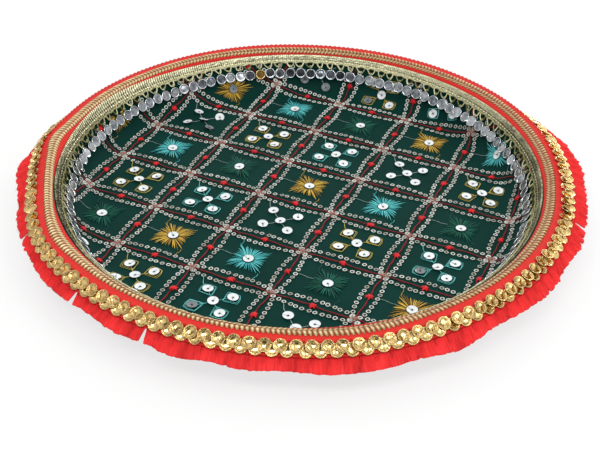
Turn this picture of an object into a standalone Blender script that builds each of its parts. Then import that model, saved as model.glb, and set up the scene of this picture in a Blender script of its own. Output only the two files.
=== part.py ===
"""Round puja platter: a steel thali dressed with cloth, embroidery and trims.

Metres, +Z up. The origin is the centre of the pan's underside, which stands on
the table. What lies on the cloth is laid out on a flat sheet first. It then
follows the pan's round corner and leaning wall, each point at the distance
from the centre that it has along the surface.
"""
import math

import bmesh
import bpy
from mathutils import Matrix, Vector

# Facets round the turned pieces, and the gap that touching pieces keep
FACETS = 64
GAP = 0.0003

# Steel pan: its inner surface is the one that every size along it is taken on
SHEET = 0.0010
BASE_RADIUS = 0.1215
CORNER_RADIUS = 0.0140
WALL_LEAN = math.radians(62)
WALL_RUN = 0.0193
ROLL_RADIUS = 0.0018
CORNER_STEPS = 4

# Green fabric lining, glued to the pan up to a little below the rolled rim
LINING_THICKNESS = 0.0005
LINING_MARGIN = 0.0008

# Gota lace round the top of the wall, and the crochet that hangs from it
LACE_HEIGHT = 0.0057
LACE_THICKNESS = 0.0011
CROCHET_HEIGHT = 0.0050
CROCHET_LAP = 0.0010
CROCHET_THICKNESS = 0.0008

# Hanging mirrors
MIRROR_COUNT = 120
MIRROR_DIAMETER = 0.0070
MIRROR_NOTCH = 0.0026
MIRROR_THICKNESS = 0.0007

# Red ribbon over the rim: round the roll, level from the roll's top to a fold,
# then sloping
RIBBON_THICKNESS = 0.0005
RIBBON_WRAP = math.radians(60)
RIBBON_LEVEL = 0.0091
RIBBON_DROP = math.radians(40)
RIBBON_SLOPE = 0.0073

# Gold braid on the ribbon's level part, its inner edge near the roll's top
BRAID_INSET = 0.0003
BRAID_WIDTH = 0.0052
BRAID_EDGE = 0.0005
BRAID_CROWN = 0.0009

# Two rows of gold sequins on the ribbon's slope
SEQUIN_ROW_INSET = 0.0003
SEQUIN_ROW_WIDTH = 0.0035
SEQUIN_ROW_THICKNESS = 0.0007

# Red brush fringe that hangs from the ribbon's outer edge
FRINGE_LENGTH = 0.0070
FRINGE_DROP = math.radians(42)
FRINGE_THICKNESS = 0.0012
FRINGE_FOLDS = 36
FRINGE_FOLD_DEPTH = 0.0006
FRINGE_RAGGED = 0.0006
FRINGE_SPLITS = (203.75, 225.75, 242.5, 342.0)
FRINGE_SPLIT_WIDTH = 0.0024
FRINGE_SPLIT_TOP = 0.35

# Lattice of couched threads, turned against the view by its own angle
CELL_LENGTH = 0.0485
CELL_WIDTH = 0.0400
LATTICE_TURN = math.radians(-25.1)
LATTICE_SHIFT_X = 0.0066
LATTICE_SHIFT_Y = 0.0122
LATTICE_THICKNESS = 0.0005
LATTICE_HALF_AT_CROSSING = 0.0020
LATTICE_HALF_AT_KNOT = 0.0050
LATTICE_MARGIN = 0.0005

# Embroidered motifs
THREAD_HEIGHT = 0.0004
SEQUIN_HEIGHT = 0.0004
SEQUIN_RADIUS = 0.0031
BURST_CORNER = 0.0134
BURST_WAIST = 0.0090
SEQUIN_SIDES = 6
BURST_POINTS = 16
GROUP_SPREAD_X = 0.0080
GROUP_SPREAD_Y = 0.0072
FRAME_SIDE = 0.0078
LINK_WIDTH = 0.0012

# Cells with a motif: row, first column, then one letter for each cell.
# Bursts are gold, turquoise or dark green. Groups of five sequins are framed
# in gold or turquoise, or white with no frame. A cell whose motif would run
# under the lace is left empty.
BURST_ROWS = ((0, 1, "GTDGT"), (2, 1, "TDGTDG"), (4, 1, "DGTDG"))
GROUP_ROWS = ((-1, 2, "WGT"), (1, 1, "WGTWG"), (3, 1, "GTWGT"), (5, 1, "WGTW"))
MIDDLE_ROW = 2
MIDDLE_COLUMN = 3

# Longest facet of a motif that bends over the pan's corner
BEND_STEP_OUT = 0.0045
BEND_STEP_ROUND = 0.0070


def clear_scene():
    """Remove what a new file starts with."""
    for obj in list(bpy.data.objects):
        bpy.data.objects.remove(obj, do_unlink=True)


def collection(name):
    """Return a collection linked to the scene."""
    group = bpy.data.collections.new(name)
    bpy.context.scene.collection.children.link(group)
    return group


def material(name, colour, roughness, metallic=0.0):
    """Return a Principled material with a plain colour."""
    mat = bpy.data.materials.new(name)
    mat.use_nodes = True
    shader = mat.node_tree.nodes["Principled BSDF"]
    shader.inputs["Base Color"].default_value = (*colour, 1.0)
    shader.inputs["Roughness"].default_value = roughness
    shader.inputs["Metallic"].default_value = metallic
    mat.diffuse_color = (*colour, 1.0)
    return mat


clear_scene()
PLATTER = collection("puja_platter")
CUTTERS = collection("cutters")


# Surface of the dressed pan

CORNER_RUN = CORNER_RADIUS * WALL_LEAN
WALL_TOP = BASE_RADIUS + CORNER_RUN + WALL_RUN


def dish_point(run, lift):
    """Return (r, z) at a distance from the axis along the pan's inner surface.

    The lift is how far the point lies off that surface, towards the inside.
    """
    turn = min(max((run - BASE_RADIUS) / CORNER_RADIUS, 0.0), WALL_LEAN)
    up_wall = max(run - BASE_RADIUS - CORNER_RUN, 0.0)
    radius = CORNER_RADIUS - lift
    r = min(run, BASE_RADIUS) + radius * math.sin(turn) + up_wall * math.cos(WALL_LEAN)
    z = SHEET + CORNER_RADIUS - radius * math.cos(turn) + up_wall * math.sin(WALL_LEAN)
    return r, z


def dish_path(start, end, lift):
    """Return the points of the inner surface between two distances."""
    runs = [start]
    for step in range(CORNER_STEPS + 1):
        run = BASE_RADIUS + CORNER_RUN * step / CORNER_STEPS
        if min(start, end) < run < max(start, end):
            runs.append(run)
    runs = sorted(set(runs + [end]))
    if start > end:
        runs.reverse()
    return [dish_point(run, lift) for run in runs]


def bend_over_pan(mesh, matrix):
    """Lay a mesh made for a flat sheet over the pan's corner and wall.

    The mesh is cut into short facets first, across and along the way out.
    """
    reach = max((matrix @ vert.co).to_2d().length for vert in mesh.vertices)
    if reach <= BASE_RADIUS:
        return
    middle = matrix.translation.to_2d()
    outwards = middle.normalized().to_3d()
    sideways = Vector((-outwards.y, outwards.x, 0.0))
    bm = bmesh.new()
    bm.from_mesh(mesh)
    bm.transform(matrix)
    cuts = []
    run = BASE_RADIUS
    while run < reach:
        cuts.append((outwards * run, outwards))
        run += BEND_STEP_OUT
    for step in (-1.5, -0.5, 0.5, 1.5):
        cuts.append((sideways * step * BEND_STEP_ROUND, sideways))
    for point, normal in cuts:
        faces = [f for f in bm.faces if f.calc_center_median().to_2d().length > BASE_RADIUS - BEND_STEP_OUT]
        edges = list({edge for face in faces for edge in face.edges})
        verts = list({vert for face in faces for vert in face.verts})
        bmesh.ops.bisect_plane(bm, geom=verts + edges + faces, plane_co=point, plane_no=normal, dist=0.00002)
    bmesh.ops.triangulate(bm, faces=bm.faces)
    for vert in bm.verts:
        run = vert.co.to_2d().length
        r, z = dish_point(run, vert.co.z - SHEET)
        vert.co = Vector((vert.co.x * r / run, vert.co.y * r / run, z))
    bm.transform(matrix.inverted())
    bm.to_mesh(mesh)
    bm.free()


# Ways to make a piece

def turned(name, profile, mat):
    """Turn a closed profile about the Z axis, its outer side drawn downwards."""
    count = len(profile)
    edges = [(i, i + 1) for i in range(count - 1)]
    if profile[0][0] > 0 or profile[-1][0] > 0:
        edges.append((count - 1, 0))
    mesh = bpy.data.meshes.new(name)
    mesh.from_pydata([(r, 0.0, z) for r, z in profile], edges, [])
    mesh.materials.append(mat)
    obj = bpy.data.objects.new(name, mesh)
    PLATTER.objects.link(obj)
    screw = obj.modifiers.new("Turn", "SCREW")
    screw.axis = "Z"
    screw.angle = math.tau
    screw.steps = FACETS
    screw.render_steps = FACETS
    screw.use_merge_vertices = True
    screw.merge_threshold = 0.00001
    screw.use_smooth_shade = True
    return obj


def lofted_ring(name, sections, mat):
    """Loft a ring through closed sections, each an angle and its (r, z) points."""
    size = len(sections[0][1])
    verts = []
    faces = []
    for angle, points in sections:
        verts += [(r * math.cos(angle), r * math.sin(angle), z) for r, z in points]
    for ring in range(len(sections)):
        here = ring * size
        there = (ring + 1) % len(sections) * size
        for k in range(size):
            after = (k + 1) % size
            faces.append((here + k, here + after, there + after, there + k))
    mesh = bpy.data.meshes.new(name)
    mesh.from_pydata(verts, [], faces)
    mesh.materials.append(mat)
    obj = bpy.data.objects.new(name, mesh)
    PLATTER.objects.link(obj)
    return obj


def flat_plate(name, outlines, thickness, group):
    """Return a mesh object, centred on z = 0, from closed flat outlines."""
    curve = bpy.data.curves.new(name, "CURVE")
    curve.dimensions = "2D"
    curve.fill_mode = "BOTH"
    curve.extrude = thickness / 2
    for outline in outlines:
        spline = curve.splines.new("POLY")
        spline.points.add(len(outline) - 1)
        for point, (x, y) in zip(spline.points, outline):
            point.co = (x, y, 0.0, 1.0)
        spline.use_cyclic_u = True
    drawn = bpy.data.objects.new(name + "_outline", curve)
    group.objects.link(drawn)
    mesh = evaluated_mesh(drawn)
    bpy.data.objects.remove(drawn, do_unlink=True)
    bm = bmesh.new()
    bm.from_mesh(mesh)
    bmesh.ops.remove_doubles(bm, verts=bm.verts, dist=0.000005)
    bmesh.ops.recalc_face_normals(bm, faces=bm.faces)
    bm.to_mesh(mesh)
    bm.free()
    obj = bpy.data.objects.new(name, mesh)
    group.objects.link(obj)
    return obj


def disc(name, radius, sides, bottom, top, place, turn=0.0):
    """Return a flat prism with a regular outline, standing at a place."""
    bm = bmesh.new()
    stand = Matrix.Translation((place[0], place[1], (bottom + top) / 2))
    bmesh.ops.create_cone(
        bm,
        cap_ends=True,
        segments=sides,
        radius1=radius,
        radius2=radius,
        depth=top - bottom,
        matrix=stand @ Matrix.Rotation(turn, 4, "Z"),
    )
    mesh = bpy.data.meshes.new(name)
    bm.to_mesh(mesh)
    bm.free()
    obj = bpy.data.objects.new(name, mesh)
    CUTTERS.objects.link(obj)
    return obj


def evaluated_mesh(obj):
    """Return a copy of an object's mesh with its modifiers applied."""
    bpy.context.view_layer.update()
    graph = bpy.context.evaluated_depsgraph_get()
    return bpy.data.meshes.new_from_object(obj.evaluated_get(graph))


def combined(base, others, operation):
    """Apply Boolean steps to an object, and remove the objects it used."""
    for other in others:
        step = base.modifiers.new(operation.title(), "BOOLEAN")
        step.operation = operation
        step.object = other
    mesh = evaluated_mesh(base)
    base.modifiers.clear()
    base.data = mesh
    for other in others:
        bpy.data.objects.remove(other, do_unlink=True)
    return base


# Lattice layout

ALONG = Vector((math.cos(LATTICE_TURN), math.sin(LATTICE_TURN)))
ACROSS = Vector((-math.sin(LATTICE_TURN), math.cos(LATTICE_TURN)))


def cell_centre(row, column):
    """Return the middle of a lattice cell on the flat sheet."""
    step_along = (column - MIDDLE_COLUMN) * CELL_LENGTH
    step_across = (MIDDLE_ROW - row) * CELL_WIDTH
    middle = Vector((LATTICE_SHIFT_X, LATTICE_SHIFT_Y))
    return middle + ALONG * step_along + ACROSS * step_across


def motif_cells(rows, half_x, half_y):
    """Yield the row, column and letter of each motif that stays below the lace."""
    for row, first, letters in rows:
        for step, letter in enumerate(letters):
            column = first + step
            middle = cell_centre(row, column)
            corners = [
                middle + ALONG * half_x * side_x + ACROSS * half_y * side_y
                for side_x in (-1, 1)
                for side_y in (-1, 1)
            ]
            if max(corner.length for corner in corners) < LACE_BOTTOM:
                yield row, column, letter


def place_motif(obj, name, row, column, mat):
    """Set a motif down on the lining at its cell, and bend it over the corner."""
    middle = cell_centre(row, column)
    obj.name = name
    obj.data.name = name
    obj.data.materials.clear()
    obj.data.materials.append(mat)
    obj.location = (middle.x, middle.y, 0.0)
    obj.rotation_euler = (0.0, 0.0, LATTICE_TURN)
    for group in list(obj.users_collection):
        group.objects.unlink(obj)
    PLATTER.objects.link(obj)
    bpy.context.view_layer.update()
    bend_over_pan(obj.data, obj.matrix_world)
    return obj


# Heights off the pan's inner surface

LINING_BACK = GAP
LINING_FACE = LINING_BACK + LINING_THICKNESS
STITCH_BACK = LINING_FACE + GAP
LACE_BACK = LINING_FACE + GAP
LACE_FACE = LACE_BACK + LACE_THICKNESS
MOTIF_FACE = STITCH_BACK + THREAD_HEIGHT + SEQUIN_HEIGHT
HANGING_BACK = max(LACE_FACE, MOTIF_FACE) + GAP

# Distances along the pan's inner surface

LINING_TOP = WALL_TOP - LINING_MARGIN
LACE_BOTTOM = LINING_TOP - LACE_HEIGHT
CROCHET_TOP = LACE_BOTTOM + CROCHET_LAP
CROCHET_BOTTOM = CROCHET_TOP - CROCHET_HEIGHT
MIRROR_TOP = CROCHET_BOTTOM - GAP

# Middle of the rolled rim, which the wall's inner surface runs into

ROLL_R, ROLL_Z = dish_point(WALL_TOP, -ROLL_RADIUS)


def roll_point(turn, radius):
    """Return a point round the rolled rim, the turn taken outwards from its top."""
    return ROLL_R + radius * math.sin(turn), ROLL_Z + radius * math.cos(turn)


def make_pan():
    """Spun steel thali with a flat base, a leaning wall and a rolled rim."""
    steel = material("polished_steel", (0.62, 0.62, 0.63), 0.25, 1.0)
    rim = [roll_point(turn, ROLL_RADIUS) for turn in (
        math.radians(degrees) for degrees in (-20, 15, 50, 85, 120, 150)
    )]
    outside = dish_path(WALL_TOP - ROLL_RADIUS * 1.5, 0.0, -SHEET)
    inside = dish_path(0.0, WALL_TOP, 0.0)
    return turned("steel_pan", rim + outside + inside, steel)


def make_lining():
    """Green cloth that covers the base, the corner and the wall."""
    cloth = material("green_satin", (0.006, 0.045, 0.033), 0.5)
    back = dish_path(LINING_TOP, 0.0, LINING_BACK)
    face = dish_path(0.0, LINING_TOP, LINING_FACE)
    return turned("fabric_lining", back + face, cloth)


def wall_band(name, bottom, top, back, thickness, mat):
    """Turn a band that lies on the wall between two distances along it."""
    outer = dish_path(top, bottom, back)
    inner = dish_path(bottom, top, back + thickness)
    return turned(name, outer + inner, mat)


def make_lace():
    """Ribbed metallic lace round the top of the wall."""
    gota = material("champagne_gota", (0.62, 0.57, 0.35), 0.35, 0.9)
    return wall_band("gota_lace", LACE_BOTTOM, LINING_TOP, LACE_BACK, LACE_THICKNESS, gota)


def make_crochet():
    """Gold chain loops, sewn over the lace's lower edge."""
    gold = material("gold_crochet_thread", (0.6, 0.44, 0.14), 0.4, 0.8)
    return wall_band(
        "crochet_edging", CROCHET_BOTTOM, CROCHET_TOP, HANGING_BACK, CROCHET_THICKNESS, gold
    )


def make_mirrors():
    """Small round mirrors in a ring, each a scallop of its lower edge."""
    mirror = material("foil_mirror", (0.7, 0.72, 0.75), 0.08, 1.0)
    hang = MIRROR_DIAMETER
    top_out = dish_point(MIRROR_TOP, HANGING_BACK)
    top_in = dish_point(MIRROR_TOP, HANGING_BACK + MIRROR_THICKNESS)
    sections = []
    for column in range(2 * MIRROR_COUNT):
        bottom = MIRROR_TOP - (hang if column % 2 else hang - MIRROR_NOTCH)
        low_out = dish_point(bottom, HANGING_BACK)
        low_in = dish_point(bottom, HANGING_BACK + MIRROR_THICKNESS)
        angle = math.tau * column / (2 * MIRROR_COUNT)
        sections.append((angle, (top_out, low_out, low_in, top_in)))
    return lofted_ring("hanging_mirrors", sections, mirror)


# Ribbon and what is sewn on its outer slope

RIBBON_BACK = ROLL_RADIUS + GAP
RIBBON_FACE = RIBBON_BACK + RIBBON_THICKNESS
FOLD_R = ROLL_R + RIBBON_LEVEL
FOLD_Z = ROLL_Z + RIBBON_FACE
SLOPE_OUT = Vector((math.cos(RIBBON_DROP), -math.sin(RIBBON_DROP)))
SLOPE_UP = Vector((math.sin(RIBBON_DROP), math.cos(RIBBON_DROP)))


def slope_point(run, lift):
    """Return (r, z) down the ribbon's slope from its fold, and off its face."""
    point = Vector((FOLD_R, FOLD_Z)) + SLOPE_OUT * run + SLOPE_UP * lift
    return point.x, point.y


def make_ribbon():
    """Red ribbon over the rolled rim, folded down towards its outer edge."""
    red = material("red_ribbon", (0.78, 0.012, 0.015), 0.6)
    turns = (-RIBBON_WRAP, -RIBBON_WRAP / 2, 0.0)
    face = [roll_point(turn, RIBBON_FACE) for turn in turns]
    back = [roll_point(turn, RIBBON_BACK) for turn in turns]
    fold_back = RIBBON_THICKNESS * math.tan(RIBBON_DROP / 2)
    face += [(FOLD_R, FOLD_Z), slope_point(RIBBON_SLOPE, 0.0)]
    back += [
        (FOLD_R - fold_back, FOLD_Z - RIBBON_THICKNESS),
        slope_point(RIBBON_SLOPE, -RIBBON_THICKNESS),
    ]
    return turned("rim_ribbon", face + back[::-1], red)


def make_braid():
    """Gold braid along the ribbon's level part, crowned across its width."""
    gold = material("gold_braid", (0.68, 0.5, 0.2), 0.35, 0.85)
    inner = ROLL_R + BRAID_INSET
    outer = inner + BRAID_WIDTH
    back = FOLD_Z + GAP
    profile = [
        ((inner + outer) / 2, back + BRAID_CROWN),
        (outer - BRAID_WIDTH / 8, back + (BRAID_CROWN + BRAID_EDGE) / 2),
        (outer, back + BRAID_EDGE / 2),
        (outer, back),
        (inner, back),
        (inner, back + BRAID_EDGE / 2),
        (inner + BRAID_WIDTH / 8, back + (BRAID_CROWN + BRAID_EDGE) / 2),
    ]
    return turned("rim_braid", profile, gold)


def make_sequin_rows():
    """Two rows of gold sequins, the lower one over the ribbon's outer edge."""
    gold = material("gold_sequin", (0.85, 0.58, 0.16), 0.2, 1.0)
    start = SEQUIN_ROW_INSET
    for name in ("sequin_row_upper", "sequin_row_lower"):
        end = start + SEQUIN_ROW_WIDTH
        profile = [
            slope_point(start, GAP + SEQUIN_ROW_THICKNESS),
            slope_point(end, GAP + SEQUIN_ROW_THICKNESS),
            slope_point(end, GAP),
            slope_point(start, GAP),
        ]
        turned(name, profile, gold)
        start = end + GAP


def fringe_angles():
    """Return the fringe's column angles, with three for each split."""
    split_half = FRINGE_SPLIT_WIDTH / 2 / (FOLD_R + RIBBON_SLOPE)
    columns = {}
    count = 4 * FRINGE_FOLDS
    splits = [math.radians(degrees) for degrees in FRINGE_SPLITS]
    for column in range(count):
        angle = math.tau * column / count
        if all(abs(angle - split) > split_half * 2 for split in splits):
            columns[angle] = 1.0
    for split in splits:
        columns[split - split_half] = 1.0
        columns[split] = FRINGE_SPLIT_TOP
        columns[split + split_half] = 1.0
    return sorted(columns.items())


def make_fringe():
    """Dense brush fringe with soft folds, ragged tips and a few splits."""
    red = material("red_fringe", (0.85, 0.02, 0.03), 0.7)
    hang_out = Vector((math.cos(FRINGE_DROP), -math.sin(FRINGE_DROP)))
    hang_up = Vector((math.sin(FRINGE_DROP), math.cos(FRINGE_DROP)))
    root = Vector(slope_point(RIBBON_SLOPE + GAP, 0.0))
    sections = []
    for angle, share in fringe_angles():
        fold = FRINGE_FOLD_DEPTH * math.sin(FRINGE_FOLDS * angle)
        ragged = FRINGE_RAGGED * (math.sin(17 * angle) + math.sin(29 * angle + 1.0)) / 2
        length = (FRINGE_LENGTH + ragged) * share
        face = []
        back = []
        for part in (0.0, 0.5, 1.0):
            point = root + hang_out * length * part + hang_up * fold * part * share
            face.append(tuple(point))
            back.append(tuple(point - hang_up * FRINGE_THICKNESS))
        sections.append((angle, face + back[::-1]))
    return lofted_ring("red_fringe", sections, red)


def cell_outline(row, column):
    """Return the open part of a lattice cell, its sides bowed in at the knots."""
    middle = cell_centre(row, column)
    corner_x = CELL_LENGTH / 2 - LATTICE_HALF_AT_CROSSING
    corner_y = CELL_WIDTH / 2 - LATTICE_HALF_AT_CROSSING
    side_x = CELL_LENGTH / 2 - LATTICE_HALF_AT_KNOT
    side_y = CELL_WIDTH / 2 - LATTICE_HALF_AT_KNOT
    corners = (
        (corner_x, corner_y), (0.0, side_y), (-corner_x, corner_y), (-side_x, 0.0),
        (-corner_x, -corner_y), (0.0, -side_y), (corner_x, -corner_y), (side_x, 0.0),
    )
    return [tuple(middle + ALONG * x + ACROSS * y) for x, y in corners]


def drop_loose_ends(mesh):
    """Keep the largest connected part: a thread that no other crosses is left off."""
    bm = bmesh.new()
    bm.from_mesh(mesh)
    left = set(bm.verts)
    parts = []
    while left:
        edge_of_part = [left.pop()]
        part = list(edge_of_part)
        while edge_of_part:
            vert = edge_of_part.pop()
            for edge in vert.link_edges:
                other = edge.other_vert(vert)
                if other in left:
                    left.remove(other)
                    part.append(other)
                    edge_of_part.append(other)
        parts.append(part)
    parts.sort(key=len)
    for part in parts[:-1]:
        bmesh.ops.delete(bm, geom=part, context="VERTS")
    bm.to_mesh(mesh)
    bm.free()


def make_lattice():
    """Net of couched threads on the base, wide at the knots, narrow at crossings."""
    thread = material("red_and_champagne_thread", (0.45, 0.12, 0.1), 0.55)
    reach = BASE_RADIUS - LATTICE_MARGIN
    bottom = SHEET + STITCH_BACK
    net = disc("lattice_stitching", reach, FACETS, bottom, bottom + LATTICE_THICKNESS, (0, 0))
    outlines = []
    span_rows = math.ceil(reach / CELL_WIDTH) + 1
    span_columns = math.ceil(reach / CELL_LENGTH) + 1
    for row in range(MIDDLE_ROW - span_rows, MIDDLE_ROW + span_rows + 1):
        for column in range(MIDDLE_COLUMN - span_columns, MIDDLE_COLUMN + span_columns + 1):
            outlines.append(cell_outline(row, column))
    openings = flat_plate("cell_openings", outlines, LATTICE_THICKNESS * 6, CUTTERS)
    openings.location.z = bottom
    combined(net, [openings], "DIFFERENCE")
    drop_loose_ends(net.data)
    net.data.materials.append(thread)
    CUTTERS.objects.unlink(net)
    PLATTER.objects.link(net)
    return net


def burst_outline():
    """Return a square star with hollow sides, its edge broken into strokes."""
    points = []
    for k in range(BURST_POINTS):
        angle = math.tau * k / BURST_POINTS + math.pi / 4
        corner = abs(math.cos(2 * (angle - math.pi / 4))) ** 2
        radius = BURST_WAIST + (BURST_CORNER - BURST_WAIST) * corner
        if k % 2:
            radius *= 0.8
        points.append((radius * math.cos(angle), radius * math.sin(angle)))
    return points


def make_bursts():
    """Star of thread strokes with one white sequin, in every second row."""
    threads = {
        "G": ("gold", material("gold_thread", (0.62, 0.4, 0.03), 0.5)),
        "T": ("turquoise", material("turquoise_thread", (0.08, 0.55, 0.55), 0.5)),
        "D": ("green", material("dark_green_thread", (0.01, 0.12, 0.08), 0.5)),
    }
    low = SHEET + STITCH_BACK
    half = BURST_CORNER / math.sqrt(2)
    for row, column, letter in motif_cells(BURST_ROWS, half, half):
        colour, mat = threads[letter]
        star = flat_plate("star", [burst_outline()], THREAD_HEIGHT, CUTTERS)
        star.data.transform(Matrix.Translation((0, 0, low + THREAD_HEIGHT / 2)))
        top = low + THREAD_HEIGHT + SEQUIN_HEIGHT
        sequin = disc("sequin", SEQUIN_RADIUS, SEQUIN_SIDES, low + THREAD_HEIGHT / 2, top, (0, 0))
        combined(star, [sequin], "UNION")
        place_motif(star, f"burst_{colour}_{row}_{column}", row, column, mat)


def make_groups():
    """Four framed sequins round a fifth, tied by threads, in the other rows."""
    frame_corner = FRAME_SIDE / math.sqrt(2)
    threads = {
        "G": ("gold", 4, frame_corner, material("gold_frame_thread", (0.6, 0.38, 0.05), 0.5)),
        "T": ("turquoise", 4, frame_corner, material("turquoise_frame_thread", (0.1, 0.5, 0.5), 0.5)),
        "W": ("white", SEQUIN_SIDES, SEQUIN_RADIUS, material("white_sequin", (0.85, 0.87, 0.86), 0.3)),
    }
    half_x = GROUP_SPREAD_X + FRAME_SIDE / 2
    half_y = GROUP_SPREAD_Y + FRAME_SIDE / 2
    low = SHEET + STITCH_BACK
    top = low + THREAD_HEIGHT + SEQUIN_HEIGHT
    for row, column, letter in motif_cells(GROUP_ROWS, half_x, half_y):
        colour, sides, radius, mat = threads[letter]
        middle = disc("middle_sequin", SEQUIN_RADIUS, SEQUIN_SIDES, low, top, (0, 0))
        others = []
        for side_x, side_y in ((1, 1), (-1, 1), (-1, -1), (1, -1)):
            place = (side_x * GROUP_SPREAD_X, side_y * GROUP_SPREAD_Y)
            others.append(disc("outer_sequin", radius, sides, low, top, place, math.pi / sides))
        for side in (-1, 1):
            half = Vector((GROUP_SPREAD_X, side * GROUP_SPREAD_Y))
            edge = Vector((-half.y, half.x)).normalized() * LINK_WIDTH / 2
            ends = [tuple(half + edge), tuple(-half + edge), tuple(-half - edge), tuple(half - edge)]
            link = flat_plate("link", [ends], THREAD_HEIGHT, CUTTERS)
            link.data.transform(Matrix.Translation((0, 0, low + THREAD_HEIGHT / 2)))
            others.append(link)
        combined(middle, others, "UNION")
        place_motif(middle, f"sequins_{colour}_{row}_{column}", row, column, mat)


make_pan()
make_lining()
make_lace()
make_crochet()
make_mirrors()
make_ribbon()
make_braid()
make_sequin_rows()
make_fringe()
make_lattice()
make_bursts()
make_groups()
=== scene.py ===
import bpy
import numpy as np
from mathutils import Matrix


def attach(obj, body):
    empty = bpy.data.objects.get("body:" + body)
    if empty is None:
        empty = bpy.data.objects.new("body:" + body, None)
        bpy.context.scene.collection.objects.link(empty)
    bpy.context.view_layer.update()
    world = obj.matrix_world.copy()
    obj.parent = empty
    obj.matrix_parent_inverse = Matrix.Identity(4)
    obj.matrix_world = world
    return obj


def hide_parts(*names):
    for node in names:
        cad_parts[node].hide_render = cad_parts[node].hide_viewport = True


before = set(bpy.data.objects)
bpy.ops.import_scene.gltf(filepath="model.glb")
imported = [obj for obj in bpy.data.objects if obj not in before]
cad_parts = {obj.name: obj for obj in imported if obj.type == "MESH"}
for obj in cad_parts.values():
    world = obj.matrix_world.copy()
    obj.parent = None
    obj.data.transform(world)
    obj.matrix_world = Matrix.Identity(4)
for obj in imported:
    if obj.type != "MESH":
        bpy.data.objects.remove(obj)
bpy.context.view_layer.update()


# Floor, light and camera. A plain pale floor lies under a soft sky, two broad lamps in
# front and two small ones behind. The camera looks down at the platter from in front.

def linear(colour):
    """Turn an sRGB hex value into the linear colour that a shader takes.

    A channel c becomes c / 12.92 up to 0.04045, and ((c + 0.055) / 1.055) ** 2.4 above.
    """
    c = np.array([int(colour[k:k + 2], 16) for k in (1, 3, 5)]) / 255
    return (*np.where(c <= 0.04045, c / 12.92, ((c + 0.055) / 1.055) ** 2.4), 1.0)


def add_node(tree, kind, inputs=None, **settings):
    """Add a shader node with its settings, and give inputs a value or a link."""
    made = tree.nodes.new("ShaderNode" + kind)
    for name, value in settings.items():
        setattr(made, name, value)
    for name, value in (inputs or {}).items():
        if isinstance(value, bpy.types.NodeSocket):
            tree.links.new(value, made.inputs[name])
        else:
            made.inputs[name].default_value = value
    return made


def finish(name, colour, roughness, metallic=0.0, **constants):
    """Start a material: a shader with a colour and constant values on its sockets."""
    mat = bpy.data.materials.new(name)
    mat.use_nodes = True
    shader = mat.node_tree.nodes["Principled BSDF"]
    shader.inputs["Base Color"].default_value = linear(colour)
    shader.inputs["Roughness"].default_value = roughness
    shader.inputs["Metallic"].default_value = metallic
    for socket, value in constants.items():
        shader.inputs[socket.replace("_", " ")].default_value = value
    return mat, mat.node_tree, shader


# Matt white paper: plain and pale. What the camera and mirrors see of it is lifted
# towards white, which leaves the platter a faint soft shadow
paper, tree, shader = finish("matt_backdrop_paper", "#f7f7f5", 0.9, Specular_IOR_Level=0.1)
rays = add_node(tree, "LightPath").outputs
seen = rays["Is Camera Ray"]
for ray in ("Is Glossy Ray", "Is Transmission Ray"):
    seen = add_node(tree, "Math", {0: seen, 1: rays[ray]}, operation="ADD", use_clamp=True).outputs[0]
share = add_node(tree, "Math", {0: seen, 1: 0.7}, operation="MULTIPLY")
white = add_node(tree, "Emission", {"Color": linear("#ffffff"), "Strength": 1.0})
lit = add_node(tree, "MixShader", {0: share.outputs[0], 1: shader.outputs[0], 2: white.outputs[0]})
tree.links.new(lit.outputs[0], tree.nodes["Material Output"].inputs["Surface"])
bpy.ops.mesh.primitive_plane_add(size=12.0, location=(0.0, 0.0, -0.0002))
floor = bpy.context.object
floor.name = "floor"
floor.data.materials.append(paper)

world = bpy.data.worlds.new("soft_sky")
bpy.context.scene.world = world
world.use_nodes = True
tree = world.node_tree
sky = add_node(tree, "TexCoord").outputs["Generated"]
height = add_node(tree, "SeparateXYZ", {"Vector": sky}).outputs["Z"]
light = add_node(tree, "MapRange", {"Value": height, "To Min": 0.7, "To Max": 0.76}).outputs["Result"]
# A dark cloth hangs low in front, for the mirrors to show, and a white screen stands
# behind, for the metal at the two sides to show
for way, inner, outer, strength in (
    ((0.0, -0.88, 0.47), 0.25, 0.6, 0.1), ((0.0, 0.87, 0.49), 0.4, 0.8, 1.8),
):
    away = add_node(tree, "VectorMath", {0: sky, 1: way}, operation="DISTANCE").outputs["Value"]
    patch = add_node(tree, "MapRange", {
        "Value": away, "From Min": inner, "From Max": outer, "To Min": strength, "To Max": 1.0,
    }).outputs["Result"]
    light = add_node(tree, "Math", {0: light, 1: patch}, operation="MULTIPLY").outputs["Value"]
# The camera itself sees it white
seen = add_node(tree, "LightPath").outputs["Is Camera Ray"]
light = add_node(tree, "Math", {0: light, 1: seen}, operation="MAXIMUM")
tree.links.new(light.outputs["Value"], tree.nodes["Background"].inputs["Strength"])
tree.nodes["Background"].inputs["Color"].default_value = linear("#fdfdff")

for name, place, angles, width, depth, power in (
    ("key_lamp", (-0.20, -0.80, 1.35), (29.0, -8.0, 0.0), 1.1, 0.4, 7.2),
    ("fill_lamp", (0.95, -0.45, 1.10), (20.0, 38.0, 0.0), 0.8, 0.8, 4.5),
    ("left_rim_lamp", (-1.0, 1.6, 0.62), (-71.8, 0.0, 32.0), 0.24, 0.24, 2.2),
    ("right_rim_lamp", (1.0, 1.6, 0.62), (-71.8, 0.0, -32.0), 0.24, 0.24, 4.0),
):
    lamp = bpy.data.lights.new(name, "AREA")
    lamp.shape = "RECTANGLE"
    lamp.size = width
    lamp.size_y = depth
    lamp.energy = power
    holder = bpy.data.objects.new(name, lamp)
    holder.location = place
    holder.rotation_euler = np.radians(angles)
    bpy.context.scene.collection.objects.link(holder)

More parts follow.
